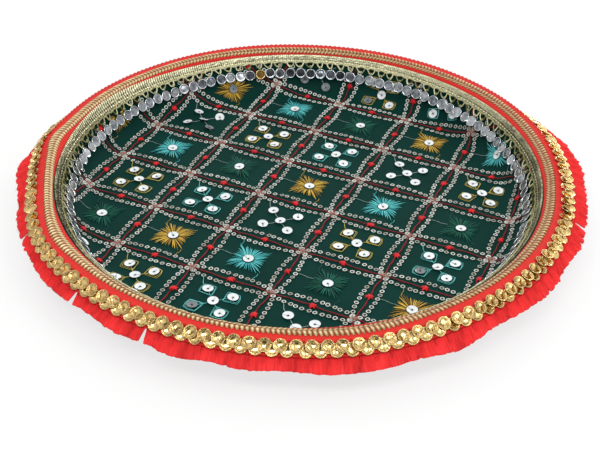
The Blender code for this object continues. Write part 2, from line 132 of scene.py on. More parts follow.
view = bpy.data.cameras.new("camera")
view.sensor_width = 36.0
view.lens = 63.1
camera = bpy.data.objects.new("camera", view)
camera.location = (0.0, -0.51925, 0.36488)
camera.rotation_euler = np.radians((53.593, -0.771, 0.438))
bpy.context.scene.collection.objects.link(camera)
bpy.context.scene.camera = camera
bpy.context.scene.view_settings.view_transform = "Standard"


# Steel pan. A thali of stainless sheet, spun on a lathe into a flat base, a round
# corner and a leaning wall, with its rim rolled over. It is the CAD solid as it is.

SHEET = 0.0010
BASE_RADIUS = 0.1215
CORNER_RADIUS = 0.0140
WALL_LEAN = np.radians(62)

# Polished stainless steel: mirror-like, with rings left by the lathe. They are drawn
# about 2 mm apart, coarser than the real ones, to show
steel, tree, shader = finish("spun_stainless_steel", "#c6c7c9", 0.2, 1.0)
place = add_node(tree, "TexCoord").outputs["Object"]
rings = add_node(tree, "TexWave", {
    "Vector": place, "Scale": 1 / 0.0060, "Distortion": 2.0, "Detail": 3.0, "Detail Scale": 0.4,
}, wave_type="RINGS", rings_direction="Z")
bump = add_node(tree, "Bump", {"Height": rings.outputs["Fac"], "Strength": 0.25, "Distance": 0.00005})
tree.links.new(bump.outputs["Normal"], shader.inputs["Normal"])
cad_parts["steel_pan"].material_slots[0].material = steel


def from_middle(points):
    """Distance of points from the Z axis: the root of x squared plus y squared."""
    return np.hypot(points[..., 0], points[..., 1])


def over_pan(flat):
    """Lay points over the pan: x and y on a flat sheet, and the lift off the steel.

    A point keeps its distance from the middle, now along the steel. Past the base that
    goes round the corner's arc, centred a corner's radius up, and then up the wall.
    """
    run = from_middle(flat)
    turn = np.clip((run - BASE_RADIUS) / CORNER_RADIUS, 0.0, WALL_LEAN)
    wall = np.maximum(run - BASE_RADIUS - CORNER_RADIUS * WALL_LEAN, 0.0)
    radius = CORNER_RADIUS - flat[..., 2]
    r = np.minimum(run, BASE_RADIUS) + radius * np.sin(turn) + wall * np.cos(WALL_LEAN)
    z = SHEET + CORNER_RADIUS - radius * np.cos(turn) + wall * np.sin(WALL_LEAN)
    share = r / np.maximum(run, 1e-9)
    return np.stack([flat[..., 0] * share, flat[..., 1] * share, z], axis=-1)


# Fabric lining. A round of dark green satin, glued to the steel inside, up to just
# below the rolled rim. The glue leaves low creases where the cloth wasn't pulled tight.

LINING_BACK = 0.0003
LINING_FACE = 0.0008
LINING_TOP = 0.15515


def full_turn(count, shift=0.0):
    """Angles of equal steps once round: the k-th is k + shift parts in count of the circle."""
    return 2 * np.pi * (np.arange(count) + shift) / count


def polar(r, a, z):
    """Points at a radius r and a turn a about Z: r cos a, r sin a, and the height z."""
    return np.stack(np.broadcast_arrays(r * np.cos(a), r * np.sin(a), z), axis=-1)


def grid_faces(rows, columns, close_rows=False, close_columns=False):
    """Number the corners of the quads between neighbouring points of a grid.

    Point (i, j) is number i * columns + j. A closed side joins its last to its first.
    """
    i = np.arange(rows if close_rows else rows - 1)[:, None]
    j = np.arange(columns if close_columns else columns - 1)[None, :]
    on_i = (i + 1) % rows
    on_j = (j + 1) % columns
    corners = (i * columns + j, i * columns + on_j, on_i * columns + on_j, on_i * columns + j)
    return np.stack(np.broadcast_arrays(*corners), axis=-1).reshape(-1, 4)


def ring_faces(rings, sides, joined=False):
    """Quads round a tube whose last ring meets its first, or whose ends are closed."""
    faces = [grid_faces(rings, sides, joined, True)]
    if not joined:
        k = np.arange(1, sides - 1, 2)
        lid = np.stack([0 * k, k, k + 1, k + 2], axis=-1)
        faces += [lid[:, ::-1], lid + (rings - 1) * sides]
    return np.concatenate(faces)


def piece(name, parts, slot, *replaced):
    """Make one mesh of parts, each its points, faces, material and tone.

    The tone is a number for each point, which a material may read as its colour's share.
    """
    parts = [part for part in parts if len(part[1])]
    mesh = bpy.data.meshes.new(name)
    points = np.concatenate([part[0].reshape(-1, 3) for part in parts])
    counts = [part[0].size // 3 for part in parts]
    firsts = np.cumsum([0] + counts)
    corners = np.concatenate([(part[1] + first).ravel() for part, first in zip(parts, firsts)])
    sizes = np.concatenate([np.full(len(part[1]), part[1].shape[1]) for part in parts])
    mesh.vertices.add(len(points))
    mesh.vertices.foreach_set("co", points.ravel())
    mesh.loops.add(len(corners))
    mesh.loops.foreach_set("vertex_index", corners)
    mesh.polygons.add(len(sizes))
    mesh.polygons.foreach_set("loop_start", np.cumsum(sizes) - sizes)
    mats = list(dict.fromkeys(part[2] for part in parts))
    for mat in mats:
        mesh.materials.append(mat)
    index = [np.full(len(part[1]), mats.index(part[2])) for part in parts]
    mesh.polygons.foreach_set("material_index", np.concatenate(index))
    tones = [np.broadcast_to(part[3], part[0].shape[:-1]).ravel() for part in parts]
    mesh.attributes.new("tone", "FLOAT", "POINT").data.foreach_set("value", np.concatenate(tones))
    mesh.update(calc_edges=True)
    mesh.shade_smooth()
    made = bpy.data.objects.new(name, mesh)
    bpy.context.scene.collection.objects.link(made)
    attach(made, "root")
    if replaced:
        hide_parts(*replaced)
    return made


# Polyester satin: dark green in soft cloudy shades, with hardly any gloss. Its weave is
# drawn at 0.6 mm, coarser than the real one, to show
satin, tree, shader = finish("green_polyester_satin", "#06302a", 0.6, Specular_IOR_Level=0.05)
place = add_node(tree, "TexCoord").outputs["Object"]
cloud = add_node(tree, "TexNoise", {"Vector": place, "Scale": 1 / 0.035, "Detail": 3.0})
shade = add_node(tree, "Mix", {
    "Factor": cloud.outputs["Fac"], "A": linear("#042923"), "B": linear("#083a33"),
}, data_type="RGBA")
tree.links.new(shade.outputs["Result"], shader.inputs["Base Color"])
weave = add_node(tree, "TexNoise", {"Vector": place, "Scale": 1 / 0.0006, "Detail": 1.0})
bump = add_node(tree, "Bump", {"Height": weave.outputs["Fac"], "Strength": 0.3, "Distance": 0.0001})
tree.links.new(bump.outputs["Normal"], shader.inputs["Normal"])

# Each crease: its middle, and its direction in degrees
CREASES = ((0.020, -0.035, 28), (-0.060, 0.010, 64), (0.045, 0.050, 12), (-0.015, -0.090, -8),
           (0.085, -0.020, 75), (-0.045, -0.055, 100), (0.000, 0.095, -20))


def crease_height(flat):
    """Sum of low ridges: each fades with the square of the distance, slowly along its line."""
    height = 0.0
    for mid_x, mid_y, degrees in CREASES:
        x, y = flat[..., 0] - mid_x, flat[..., 1] - mid_y
        c, s = np.cos(np.radians(degrees)), np.sin(np.radians(degrees))
        height = height + 0.00016 * np.exp(-((y * c - x * s) / 0.0022) ** 2 - ((x * c + y * s) / 0.026) ** 2)
    return height


# Rings of points: spread over the base, closer round the corner, and up the wall
out = np.concatenate([np.linspace(0.0003, 0.119, 84), np.linspace(0.1204, 0.1375, 16),
                      np.linspace(0.139, LINING_TOP, 8)])[:, None]
a = full_turn(240)
back = polar(out, a, LINING_BACK)
face = polar(out, a, LINING_FACE + crease_height(back))
cloth = over_pan(np.concatenate([back, face[::-1]]))
lining = piece("green_lining", [(cloth, ring_faces(len(cloth), len(a)), satin, 0.5)],
               "lining_satin", "fabric_lining")


# Lattice stitching. Red thread is couched along every line, with a red knot halfway
# between crossings, and a chain of small cream ring sequins is sewn down each side.

CELL_LENGTH = 0.0485
CELL_WIDTH = 0.0400
LATTICE_TURN = np.radians(-25.1)
LATTICE_MIDDLE = np.array([0.0066, 0.0122])
STITCH_LIFT = 0.0011
LACE_BOTTOM = 0.14945
ALONG = np.array([np.cos(LATTICE_TURN), np.sin(LATTICE_TURN)])
ACROSS = np.array([-np.sin(LATTICE_TURN), np.cos(LATTICE_TURN)])


def with_lift(flat, lift):
    """Give flat points their lift as a third number."""
    return np.concatenate([flat, np.broadcast_to(lift, flat.shape[:-1])[..., None]], axis=-1)


def repeated(faces, count, points):
    """Number the faces of so many copies of a shape that has so many points."""
    return (faces + np.arange(count)[:, None, None] * points).reshape(-1, faces.shape[-1])


def tubes(paths, half_width, half_height, sides=4, joined=False):
    """Carry an oval section along many flat paths of x, y and lift.

    A point is the path's point, plus half the width times cos a to the side, plus half
    the height times sin a upwards. The side is level and square to the path.
    """
    if joined:
        along = np.roll(paths, -1, axis=1) - np.roll(paths, 1, axis=1)
    else:
        along = np.gradient(paths, axis=1)
    along = along[..., :2] / np.linalg.norm(along[..., :2], axis=-1, keepdims=True)
    side = np.stack([-along[..., 1], along[..., 0]], axis=-1)
    a = full_turn(sides)
    count, rings = paths.shape[:2]
    width = np.broadcast_to(half_width, (count, rings))[..., None]
    height = np.broadcast_to(half_height, (count, rings))[..., None]
    flat = paths[..., None, :2] + side[..., None, :] * (width * np.cos(a))[..., None]
    points = with_lift(flat, paths[..., 2:] + height * np.sin(a))
    return points.reshape(-1, 3), repeated(ring_faces(rings, sides, joined), count, rings * sides)


def on_cloth(tube, mat, tone):
    """A part of laid thread: its flat tubes carried over the pan, in one finish."""
    return over_pan(tube[0]), tube[1], mat, tone


def turned(profile, sides, joined=False):
    """Turn a profile of radii and heights about Z, drawn upwards on its outer side."""
    profile = np.array(profile)
    points = polar(profile[:, :1], full_turn(sides), profile[:, 1:])
    return points.reshape(-1, 3), ring_faces(len(profile), sides, joined)


def stand(shape, places, x_way, normal):
    """Put copies of a small stiff shape at places, each with its Z along the normal.

    Its X is the given way without the part of it along the normal, and its Y their cross.
    """
    points, faces = shape
    normal = normal / np.linalg.norm(normal, axis=-1, keepdims=True)
    x_way = x_way - normal * np.sum(x_way * normal, axis=-1, keepdims=True)
    x_way /= np.linalg.norm(x_way, axis=-1, keepdims=True)
    axes = np.stack([x_way, np.cross(normal, x_way), normal], axis=-1)
    placed = places[:, None] + np.einsum("kab,nb->kna", axes, points)
    return placed, repeated(faces, len(places), len(points))


def set_down(shape, flat, spin, lean):
    """Set copies of a small stiff shape on the pan, each square to it but for its lean.

    The copy's X and Y are the flat sheet's, turned by the spin and followed along the
    pan, and its Z is the way off the steel. Each lean tips it by a small angle.
    """
    run = from_middle(flat)
    turn = np.clip((run - BASE_RADIUS) / CORNER_RADIUS, 0.0, WALL_LEAN)
    c, s = flat[:, 0] / run, flat[:, 1] / run
    outward = np.stack([c * np.cos(turn), s * np.cos(turn), np.sin(turn)], axis=-1)
    sideways = np.stack([-s, c, 0 * c], axis=-1)
    off = np.cross(outward, sideways)
    cos, sin = np.cos(spin)[..., None], np.sin(spin)[..., None]
    x_way = outward * c[:, None] - sideways * s[:, None]
    y_way = outward * s[:, None] + sideways * c[:, None]
    x_way, y_way = x_way * cos + y_way * sin, y_way * cos - x_way * sin
    return stand(shape, over_pan(flat), x_way, off + x_way * lean[0][:, None] + y_way * lean[1][:, None])


def toned(name, colour, dark, pale, roughness, metallic=0.0, **constants):
    """Start a material whose colour runs from dark to pale with its points' tone.

    The tone is returned, and so is the socket it goes to, for a pattern to come between.
    """
    mat, tree, shader = finish(name, colour, roughness, metallic, **constants)
    tone = add_node(tree, "Attribute", attribute_name="tone").outputs["Fac"]
    shade = add_node(tree, "Mix", {
        "Factor": tone, "A": linear(dark), "B": linear(pale),
    }, data_type="RGBA")
    tree.links.new(shade.outputs["Result"], shader.inputs["Base Color"])
    return mat, tree, shader, tone, shade.inputs["Factor"]


def clouded(size, top, *settings, **constants):
    """A toned material with fine noise of a size: pale where noise and tone reach the top."""
    mat, tree, shader, tone, share = toned(*settings, **constants)
    place = add_node(tree, "TexCoord").outputs["Object"]
    grain = add_node(tree, "TexNoise", {"Vector": place, "Scale": 1 / size, "Detail": 2.0}).outputs["Fac"]
    mixed = add_node(tree, "Math", {0: grain, 1: tone}, operation="ADD").outputs["Value"]
    mapped = add_node(tree, "MapRange", {"Value": mixed, "From Min": 0.5, "From Max": top})
    tree.links.new(mapped.outputs["Result"], share)
    return mat, tree, shader, grain


# Twisted rayon thread: a soft silky shine, and painted shade in the grooves of its twist
def thread(name, dark, pale, twist=0.0009):
    """Return a thread's material, from the painted shade in its grooves to its pale top."""
    mat, tree, shader, grain = clouded(twist, 1.3, name, pale, dark, pale, 0.5, Specular_IOR_Level=0.3)
    bump = add_node(tree, "Bump", {"Height": grain, "Strength": 0.5, "Distance": 0.0002})
    tree.links.new(bump.outputs["Normal"], shader.inputs["Normal"])
    return mat


red_thread = thread("red_rayon_thread", "#5c0d14", "#a8141f")
knot_thread = thread("red_rayon_knot", "#a80f15", "#e0161d")
olive_thread = thread("olive_backing_thread", "#4c5444", "#a5a48c")
pink_thread = thread("pink_and_gold_zari_thread", "#7d4038", "#cfa18a")

# Ring sequins of cream film: nearly white at the rim where they face the light
cream_film = toned("cream_sequin_film", "#dcd9c8", "#9a978a", "#f4f6ee", 0.3, Specular_IOR_Level=0.5)[0]

rng = np.random.default_rng(3)
steps = np.arange(-4, 5)
m, n = (k.ravel()[:, None] - 0.5 for k in np.meshgrid(steps, steps))
crossing = LATTICE_MIDDLE + m * CELL_LENGTH * ALONG + n * CELL_WIDTH * ACROSS

# Each segment runs from a crossing, along or across, as far as it is below the lace
start = np.concatenate([crossing, crossing])
way = np.repeat([ALONG, ACROSS], len(crossing), axis=0)
length = np.repeat([CELL_LENGTH, CELL_WIDTH], len(crossing))
tries = np.linspace(0.0, 1.0, 97)
line = start[:, None] + (way * length[:, None])[:, None] * tries[:, None]
shows = from_middle(line) < LACE_BOTTOM + 0.001
kept = shows.sum(axis=1) > 12
start, way, length, shows = (value[kept] for value in (start, way, length, shows))
first_t = tries[np.argmax(shows, axis=1)]
last_t = tries[::-1][np.argmax(shows[:, ::-1], axis=1)]


def beside(t, off, lift):
    """Flat points at a share t along every segment, off to its side, at a lift."""
    side = np.stack([-way[:, 1], way[:, 0]], axis=-1)
    along = (way * length[:, None])[:, None] * t[..., None]
    return with_lift(start[:, None] + along + side[:, None] * off[..., None], lift)


def bow(t):
    """Distance of a chain from its line: a half sine that opens at the knot."""
    return 0.0016 + 0.0030 * np.sin(np.pi * t) ** 0.7


t = first_t[:, None] + (last_t - first_t)[:, None] * np.linspace(0, 1, 25)
phase = rng.uniform(0, 6.28, (len(start), 1))
wave = 0.0004 * np.sin(9 * t + phase) + 0.0002 * np.sin(23 * t + 2 * phase)
red_lines = tubes(beside(t, wave, STITCH_LIFT + 0.0002), 0.00038, 0.0003)
# A thinner thread swings from side to side of it
wave = wave + 0.0005 * np.cos(14 * t + phase)
red_seconds = tubes(beside(t, wave, STITCH_LIFT + 0.0001), 0.00027, 0.0002)

# A knot is seven leaf-shaped stitches that cross at its middle
whole = (first_t < 0.46) & (last_t > 0.54)
knots = with_lift((start + way * length[:, None] * 0.5)[whole], 0.0)
a = rng.uniform(0, 6.28, (len(knots), 1)) + full_turn(7)
a = a + rng.uniform(-0.3, 0.3, a.shape)
reach = rng.uniform(0.0019, 0.0028, a.shape)
share = np.linspace(-0.15, 1.0, 6)
lift = STITCH_LIFT + 0.0008 - 0.0006 * share ** 2 + 0.0001 * rng.uniform(0, 1, (*a.shape, 1))
arms = knots[:, None, None] + polar(reach[..., None] * share, a[..., None], lift)
arms = arms.reshape(-1, 6, 3)
width = np.array([0.0006, 0.0009, 0.00095, 0.0008, 0.0005, 0.00014])
knot_arms = tubes(arms, width, width * 0.35, 6)
tones = np.repeat(rng.uniform(0.2, 1.0, len(arms)), 36)

piece("lattice_red_thread", [
    on_cloth(red_lines, red_thread, 0.35),
    on_cloth(red_seconds, red_thread, 0.1),
    on_cloth(knot_arms, knot_thread, tones),
], "lattice_thread", "lattice_stitching")

chains = []
rings_at = []
for hand in (-1.0, 1.0):
    t = first_t[:, None] + (last_t - first_t)[:, None] * np.linspace(0.0, 1.0, 27)
    chains.append(beside(t, hand * bow(t) + 0.0001 * np.sin(60 * t), STITCH_LIFT + 0.0001))
    for side_length, count in ((CELL_LENGTH, 13), (CELL_WIDTH, 11)):
        t = (np.arange(count) + 0.5) / count + rng.uniform(-0.010, 0.010, (len(start), count))
        flat = beside(t, hand * bow(t) + rng.uniform(-0.0002, 0.0002, t.shape), STITCH_LIFT + 0.0003)
        rings_at.append(flat[length == side_length].reshape(-1, 3))
# One more ring sequin lies on each crossing
near = with_lift(crossing[from_middle(crossing) < LACE_BOTTOM - 0.002], 0.0)
rings_at.append(near + polar(0.0005, rng.uniform(0, 6.28, len(near)), STITCH_LIFT + 0.0006))
rings_at = np.concatenate(rings_at)
rings_at = rings_at[from_middle(rings_at) < LACE_BOTTOM - 0.0015]
a = full_turn(4)
ring = turned(np.stack([0.00108 - 0.00031 * np.cos(a), 0.00022 * -np.sin(a)], axis=-1), 10, True)
rings, faces = set_down(ring, rings_at, 0.0, rng.normal(0, 0.07, (2, len(rings_at))))
# Those on the wall behind face the lamps, and catch the most light
tones = rng.uniform(0.25, 1.0, (len(rings), 1)) + np.clip(rings_at[:, 1:2] / 0.03 - 2.8, 0.0, 1.0)
piece("lattice_ring_sequins", [(rings, faces, cream_film, tones)], "lattice_thread")

# Loose ends of a pink and gold thread lie across each other at every crossing
a = rng.uniform(0, 6.28, (len(near), 1)) + np.pi * np.arange(6) / 6
share = np.linspace(-1.0, 1.0, 7)
reach = rng.uniform(0.0018, 0.0034, a.shape)[..., None] * share
crosses = near[:, None, None] + polar(reach, a[..., None], STITCH_LIFT + 0.0011 - 0.0009 * share ** 2)
piece("lattice_zari_thread", [
    on_cloth(tubes(np.concatenate(chains), 0.00018, 0.00015), olive_thread, 0.2),
    on_cloth(tubes(crosses.reshape(-1, 7, 3), 0.00017, 0.0002), pink_thread, 0.4),
], "lattice_thread")


# Burst motifs. Loose straight stitches of one thread run out from a white cup sequin
# to the outline of a hollow-sided square, and a few threads lead on to the lattice.

BURST_WAIST = 0.0096
BURST_EYE = 0.0034
SEQUIN_RADIUS = 0.0031
MOTIF_LIFT = 0.0011
MOTIF_LIMIT = LACE_BOTTOM - 0.0015
STROKES = 46
SHADED_TONE = 0.12

# White cup sequins of film with a pearl coat, grey where one lies in its own shade
pearl = toned("white_pearl_sequin_film", "#e9efee", "#4c5558", "#f1f6f6", 0.24, Specular_IOR_Level=0.5)[0]
hole_thread = thread("grey_tacking_thread", "#1c2423", "#5d6866")
silver_thread = thread("silver_lurex_thread", "#5f7670", "#b4c8c2")

# The cup's profile, and how pale the film is at each point of it, darker by the hole
cup_profile = [
    (0.00040, 0.00012), (0.0009, 0.00004), (0.0018, 0.00008), (0.0027, 0.00030), (0.0031, 0.00055),
    (0.0030, 0.00064), (0.0026, 0.00046), (0.0017, 0.00022), (0.0009, 0.00016), (0.00040, 0.00022),
]
cup = turned(cup_profile, 20, True)
cup_tone = np.repeat([0.4, 0.6, 0.8, 0.8, 0.7, 0.86, 1.0, 1.0, 0.8, 0.5], 20)


def motif_space(local, row, column):
    """Carry a motif's own points to its cell of the lattice, flat, the lift kept."""
    middle = LATTICE_MIDDLE + ALONG * (column - 3) * CELL_LENGTH + ACROSS * (2 - row) * CELL_WIDTH
    flat = middle + local[..., :1] * ALONG + local[..., 1:2] * ACROSS
    return np.concatenate([flat, local[..., 2:]], axis=-1)


def laid(paths, row, column, half_width, mat, tone, sides=4, joined=False):
    """A motif's part of laid thread, without the paths that the lace would cover."""
    flat = motif_space(paths, row, column)
    open_cloth = from_middle(flat).max(axis=1) < MOTIF_LIMIT
    tone = np.broadcast_to(tone, len(paths))[open_cloth]
    tube = tubes(flat[open_cloth], half_width, np.multiply(half_width, 0.7), sides, joined)
    return on_cloth(tube, mat, np.repeat(tone, paths.shape[1] * sides))


def loose_thread(ends, lift=MOTIF_LIFT + 0.0001, stray=0.0004):
    """Paths between pairs of local points. Each strays to both sides, by one sine wave."""
    ends = np.array(ends)
    share = np.linspace(0, 1, 9)
    flat = ends[:, :1] + (ends[:, 1:] - ends[:, :1]) * share[:, None]
    across = (ends[:, 1] - ends[:, 0])[:, ::-1] * (-1, 1)
    across /= np.linalg.norm(across, axis=-1, keepdims=True)
    flat = flat + across[:, None] * (stray * np.sin(np.pi * 2 * share))[:, None]
    return with_lift(flat, lift)


def cup_sequins(places, row, column, rng, pale, tip=0.05):
    """Parts of a motif's cup sequins: the cups, each hole's dark knot, a tacking stitch."""
    local = with_lift(places, MOTIF_LIFT + 0.0003)
    flat = motif_space(local, row, column)
    open_cloth = from_middle(flat) < MOTIF_LIMIT - SEQUIN_RADIUS
    pale = np.broadcast_to(pale, len(flat))[open_cloth]
    flat, places = flat[open_cloth], places[open_cloth]
    if not len(flat):
        return []
    cups, faces = set_down(cup, flat, rng.uniform(0, 6.28, len(flat)), rng.normal(0, tip, (2, len(flat))))
    tones = pale[:, None] * cup_tone * rng.uniform(0.88, 1.0, (len(flat), 1))
    a = rng.uniform(0, 6.28, len(flat))
    off = np.stack([np.cos(a), np.sin(a)], axis=-1)
    share = np.linspace(-0.2, 1.05, 5)
    stitch = with_lift(places[:, None] + off[:, None] * SEQUIN_RADIUS * share[:, None],
                       MOTIF_LIFT + 0.0005 + 0.0005 * share ** 2)
    across = off[:, None, ::-1] * 0.0005 * np.linspace(-1, 1, 3)[:, None]
    knot = with_lift(places[:, None] + across, MOTIF_LIFT + 0.0005)
    return [(cups, faces, pearl, tones),
            laid(stitch, row, column, 0.00011, hole_thread, 0.6),
            laid(knot, row, column, 0.00045, hole_thread, 0.1)]


def motif_piece(name, ending, parts, slot):
    """Make a motif's piece. It stands for the CAD node of its name, where there is one."""
    covers = [name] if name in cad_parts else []
    piece(name + ending, parts, slot, *covers)


BURSTS = {
    "gold": (thread("gold_rayon_thread", "#7a5410", "#f4cc55"), "motif_gold_thread",
             ((0, 1), (0, 4), (2, 3), (4, 2), (4, 5), (2, 6), (2, 0))),
    "turquoise": (thread("turquoise_rayon_thread", "#1f8f94", "#6fe3e2"), "motif_turquoise_thread",
                  ((0, 2), (0, 5), (2, 1), (2, 4), (4, 3))),
    "green": (thread("dark_green_rayon_thread", "#06382f", "#147059"), "motif_green_thread",
              ((0, 3), (2, 2), (2, 5), (4, 1), (4, 4))),
}
for colour, (silk, slot, cells) in BURSTS.items():
    for row, column in cells:
        rng = np.random.default_rng(100 + 10 * row + column)
        a = full_turn(STROKES, rng.uniform(-0.28, 0.28, STROKES))
        square = 1 / np.maximum(np.abs(np.cos(a)), np.abs(np.sin(a)))
        edge = BURST_WAIST * square ** 1.35 * rng.uniform(0.88, 1.03, STROKES)
        swing = rng.normal(0, 0.03, (STROKES, 1))
        share = np.linspace(0, 1, 6)
        lift = MOTIF_LIFT + 0.0002 + 0.0004 * np.sin(np.pi * share) + rng.uniform(0, 0.0002, (STROKES, 1))
        strokes = polar(BURST_EYE + (edge - BURST_EYE)[:, None] * share, a[:, None] + swing * share, lift)
        width = np.array([0.00020, 0.00026, 0.00029, 0.00029, 0.00024, 0.00007])
        leads = loose_thread([((-0.0090, 0.0080), (-0.0106, 0.0150)), ((0.0106, -0.0090), (0.0104, -0.0155))])
        silver = loose_thread([((-0.0085, 0.0010), (-0.0198, 0.0008))])
        parts = [
            laid(strokes, row, column, width, silk, rng.uniform(0.0, 0.95, STROKES)),
            laid(leads, row, column, 0.0002, silk, 0.3),
            laid(silver, row, column, 0.00018, silver_thread, 0.4),
        ]
        # The sequin of one catches no light and lies dark
        pale = SHADED_TONE if (row, column) == (0, 1) else 1.0
        parts += cup_sequins(np.zeros((1, 2)), row, column, rng, pale)
        motif_piece(f"burst_{colour}_{row}_{column}", "_stitches", parts, slot)


# Five-sequin motifs. Four cup sequins stand round a fifth, each in a loose square of
# gold or turquoise thread, or bare in the white ones, and short threads tie them.

SPREAD = np.array([0.0080, 0.0072])
CORNERS = np.array([(1, 1), (-1, 1), (-1, -1), (1, -1)])
FRAMES = {
    "gold": (thread("gold_zari_frame_thread", "#8f7a2a", "#e6cd66"),
             ((-1, 3), (1, 2), (1, 5), (3, 1), (3, 4), (5, 2))),
    "turquoise": (thread("turquoise_frame_thread", "#2f9d9d", "#7be0db"),
                  ((1, 3), (3, 2), (3, 5), (5, 3), (-1, 4))),
    "white": (None, ((1, 1), (1, 4), (3, 3), (5, 4), (5, 1), (-1, 2))),
}
# Sequins that catch no light lie dark: the cell, then which of its five, the middle first
SHADED = {(3, 5): (3,), (5, 3): (3,), (-1, 3): (3,), (1, 1): (4,), (-1, 2): (0, 1, 2, 3, 4)}
for colour, (silk, cells) in FRAMES.items():
    for row, column in cells:
        rng = np.random.default_rng(300 + 10 * row + column)
        outer = CORNERS * SPREAD + rng.normal(0, 0.00025, (4, 2))
        places = np.concatenate([[[0.0, 0.0]], outer])
        pale = np.where(np.isin(np.arange(5), SHADED.get((row, column), ())), SHADED_TONE, 1.0)
        # One group hangs loose, and its sequins tip
        tip = 0.30 if (row, column) == (1, 1) else 0.06
        parts = cup_sequins(places, row, column, rng, pale, tip)
        links = loose_thread(np.stack([CORNERS * 0.0018, outer * 1.3], axis=1), stray=0.0002)
        lead = loose_thread([((-0.0105, 0.0095), (-0.0162, 0.0168))])
        parts.append(laid(np.concatenate([links, lead]), row, column, 0.0002, silk or silver_thread, 0.5))
        if silk:
            a = full_turn(32)
            square = 1 / np.maximum(np.abs(np.cos(a)), np.abs(np.sin(a))) ** 0.75
            loops = []
            # Two squares with uneven corners, the one towards the middle drawn out to the link
            for size in (0.0042, 0.0037):
                for corner, place in zip(CORNERS, outer):
                    inward = a - np.arctan2(-corner[1], -corner[0])
                    uneven = 0.12 * np.cos(inward) ** 9 + rng.uniform(-0.05, 0.05) * np.sin(2 * a)
                    loop = polar(size * square * (1 + uneven), a + rng.normal(0, 0.06), 0.0)
                    middle = with_lift(place + rng.normal(0, 0.0002, 2), MOTIF_LIFT + 0.0002)
                    loops.append(middle + loop * (1.0, 0.92, 1.0))
            parts.append(laid(np.array(loops), row, column, 0.00015, silk, rng.uniform(0.3, 0.9, 8), 4, True))
        motif_piece(f"sequins_{colour}_{row}_{column}", "_set", parts, "sequin_white")


# Gota lace. A ribbon woven of flat gilt strips on edge, sewn round the top of the
# lining and over the rim ribbon's edge, with two rows of bright bead-like bumps below.

LACE_BACK = 0.0011
RIBS = 660

# Champagne gilt film: pale green-gold metal, with a painted highlight on the ribs and painted olive shade
# between them
gilt = toned("champagne_gota_film", "#dcd6a4", "#322f15", "#fffbce", 0.3, 0.8, Specular_IOR_Level=0.2)[0]


def closed_band(back, face, mat, tones):
    """A part that goes once round: its back's rows outwards, and its face's rows back.

    The face carries the tones, and the back is dark.
    """
    points = np.concatenate([back, face[::-1]])
    tones = np.concatenate([np.zeros(back.shape[:2]), tones[::-1]])
    return points, grid_faces(*points.shape[:2], True, True), mat, np.clip(tones, 0, 1)


def hump(x, middle, width, power=2):
    """A hump that is 1 in the middle: e to minus a power of the distance over the width."""
    return np.exp(-((x - middle) / width) ** power)


def in_front(a):
    """Share that is nearly 1 over the front third: a hump of the sixth power.

    The trims are pulled tight there: they lie lower, flatter and narrower.
    """
    return hump(a, np.radians(272), 1.25, 6)


rng = np.random.default_rng(41)
columns = RIBS * 4
j = np.arange(columns)
up = np.linspace(0.0, 1.0, 17)[:, None]
a = full_turn(columns)
# Behind to the left the lace is stretched, and its ribs stand further apart
stretched = np.radians(150)
count = RIBS * a / (2 * np.pi) - 16 * (1 + np.tanh((a - stretched) / 0.5))
rib = np.abs(np.sin(np.pi * (count + 0.8 * np.abs(up - 0.65))))
bead = hump(up, 0.07, 0.06) + hump(up, 0.25, 0.06)
bead = bead * (0.5 + 0.5 * np.sin(2 * np.pi * (j / 8 + 0.5 * (up > 0.16))))
groove = hump(up, 0.40, 0.05) + 0.6 * hump(up, 0.16, 0.04)
edge = np.minimum(1.0, 8 * np.minimum(up, 1 - up) + 0.25)
# Crushed strips lie high or low: leaf-like flecks that slant up the lace, in uneven rows
seed = rng.uniform(-1, 1, (8, RIBS))
column = np.floor(count + 4.0 * up + 0.4 * np.sin(j / 37)).astype(int) % RIBS
crush = seed[np.minimum((up * 8).astype(int), 7), column] * (up > 0.32) * (0.6 - 0.2 * np.cos(a))
height = (0.00050 + 0.00026 * rib * (up > 0.3) + 0.0006 * bead - 0.0002 * groove + 0.00022 * crush) * edge
patch = np.interp(j, np.arange(0, columns + 1, 24), rng.uniform(-0.12, 0.12, columns // 24 + 1))
# Where it is stretched its ribs show more. Its tone paints highlights on the ribs, the bead rows and the
# raised flecks, and shade in the grooves, at both sides and in front to the right, where it lies in its own
# shade
apart = hump(a, stretched, 0.6)
tones = 0.62 - 0.3 * apart + (0.45 + 1.2 * apart) * (rib - 0.5) + 0.9 * bead - 0.5 * groove + patch
tones = tones + 0.4 * (1 - 0.5 * apart) * crush - 0.42 * np.clip(np.cos(a), 0, 1) ** 4
tones = tones - 0.75 * hump(a, np.radians(197), 0.4) - 0.45 * hump(a, np.radians(312), 0.4)
height = height * (1 - 0.6 * in_front(a) * np.clip(3 * up - 1, 0, 1))
# At two places it is sewn higher, further over the ribbon, and in front it is lower
higher = 0.0029 * hump(a, np.radians(151), 0.34) + 0.0009 * hump(np.sin(a / 2 - np.radians(8)), 0.0, 0.25)
run = LACE_BOTTOM + (LINING_TOP - LACE_BOTTOM + higher - 0.0026 * in_front(a)) * up
back = over_pan(polar(run, a, LACE_BACK))
lace = closed_band(back, over_pan(polar(run, a, LACE_BACK + height)), gilt, tones)
piece("gota_lace_ribs", [lace], "gota_lace", "gota_lace")


# Crochet edging. Gold thread crocheted into a chain along the lace's foot. Uneven
# curved stems hang from it, and each carries a mirror by the eye at its end.

MIRROR_COUNT = 120
CROCHET_TOP = 0.15045
CROCHET_BOTTOM = 0.14545
HANGING_LIFT = 0.0025
CORD_LIFT = HANGING_LIFT + 0.0004
gold_cord = thread("gold_crochet_cord", "#686228", "#fbf8c8", 0.0006)

rng = np.random.default_rng(42)
middle = full_turn(MIRROR_COUNT)
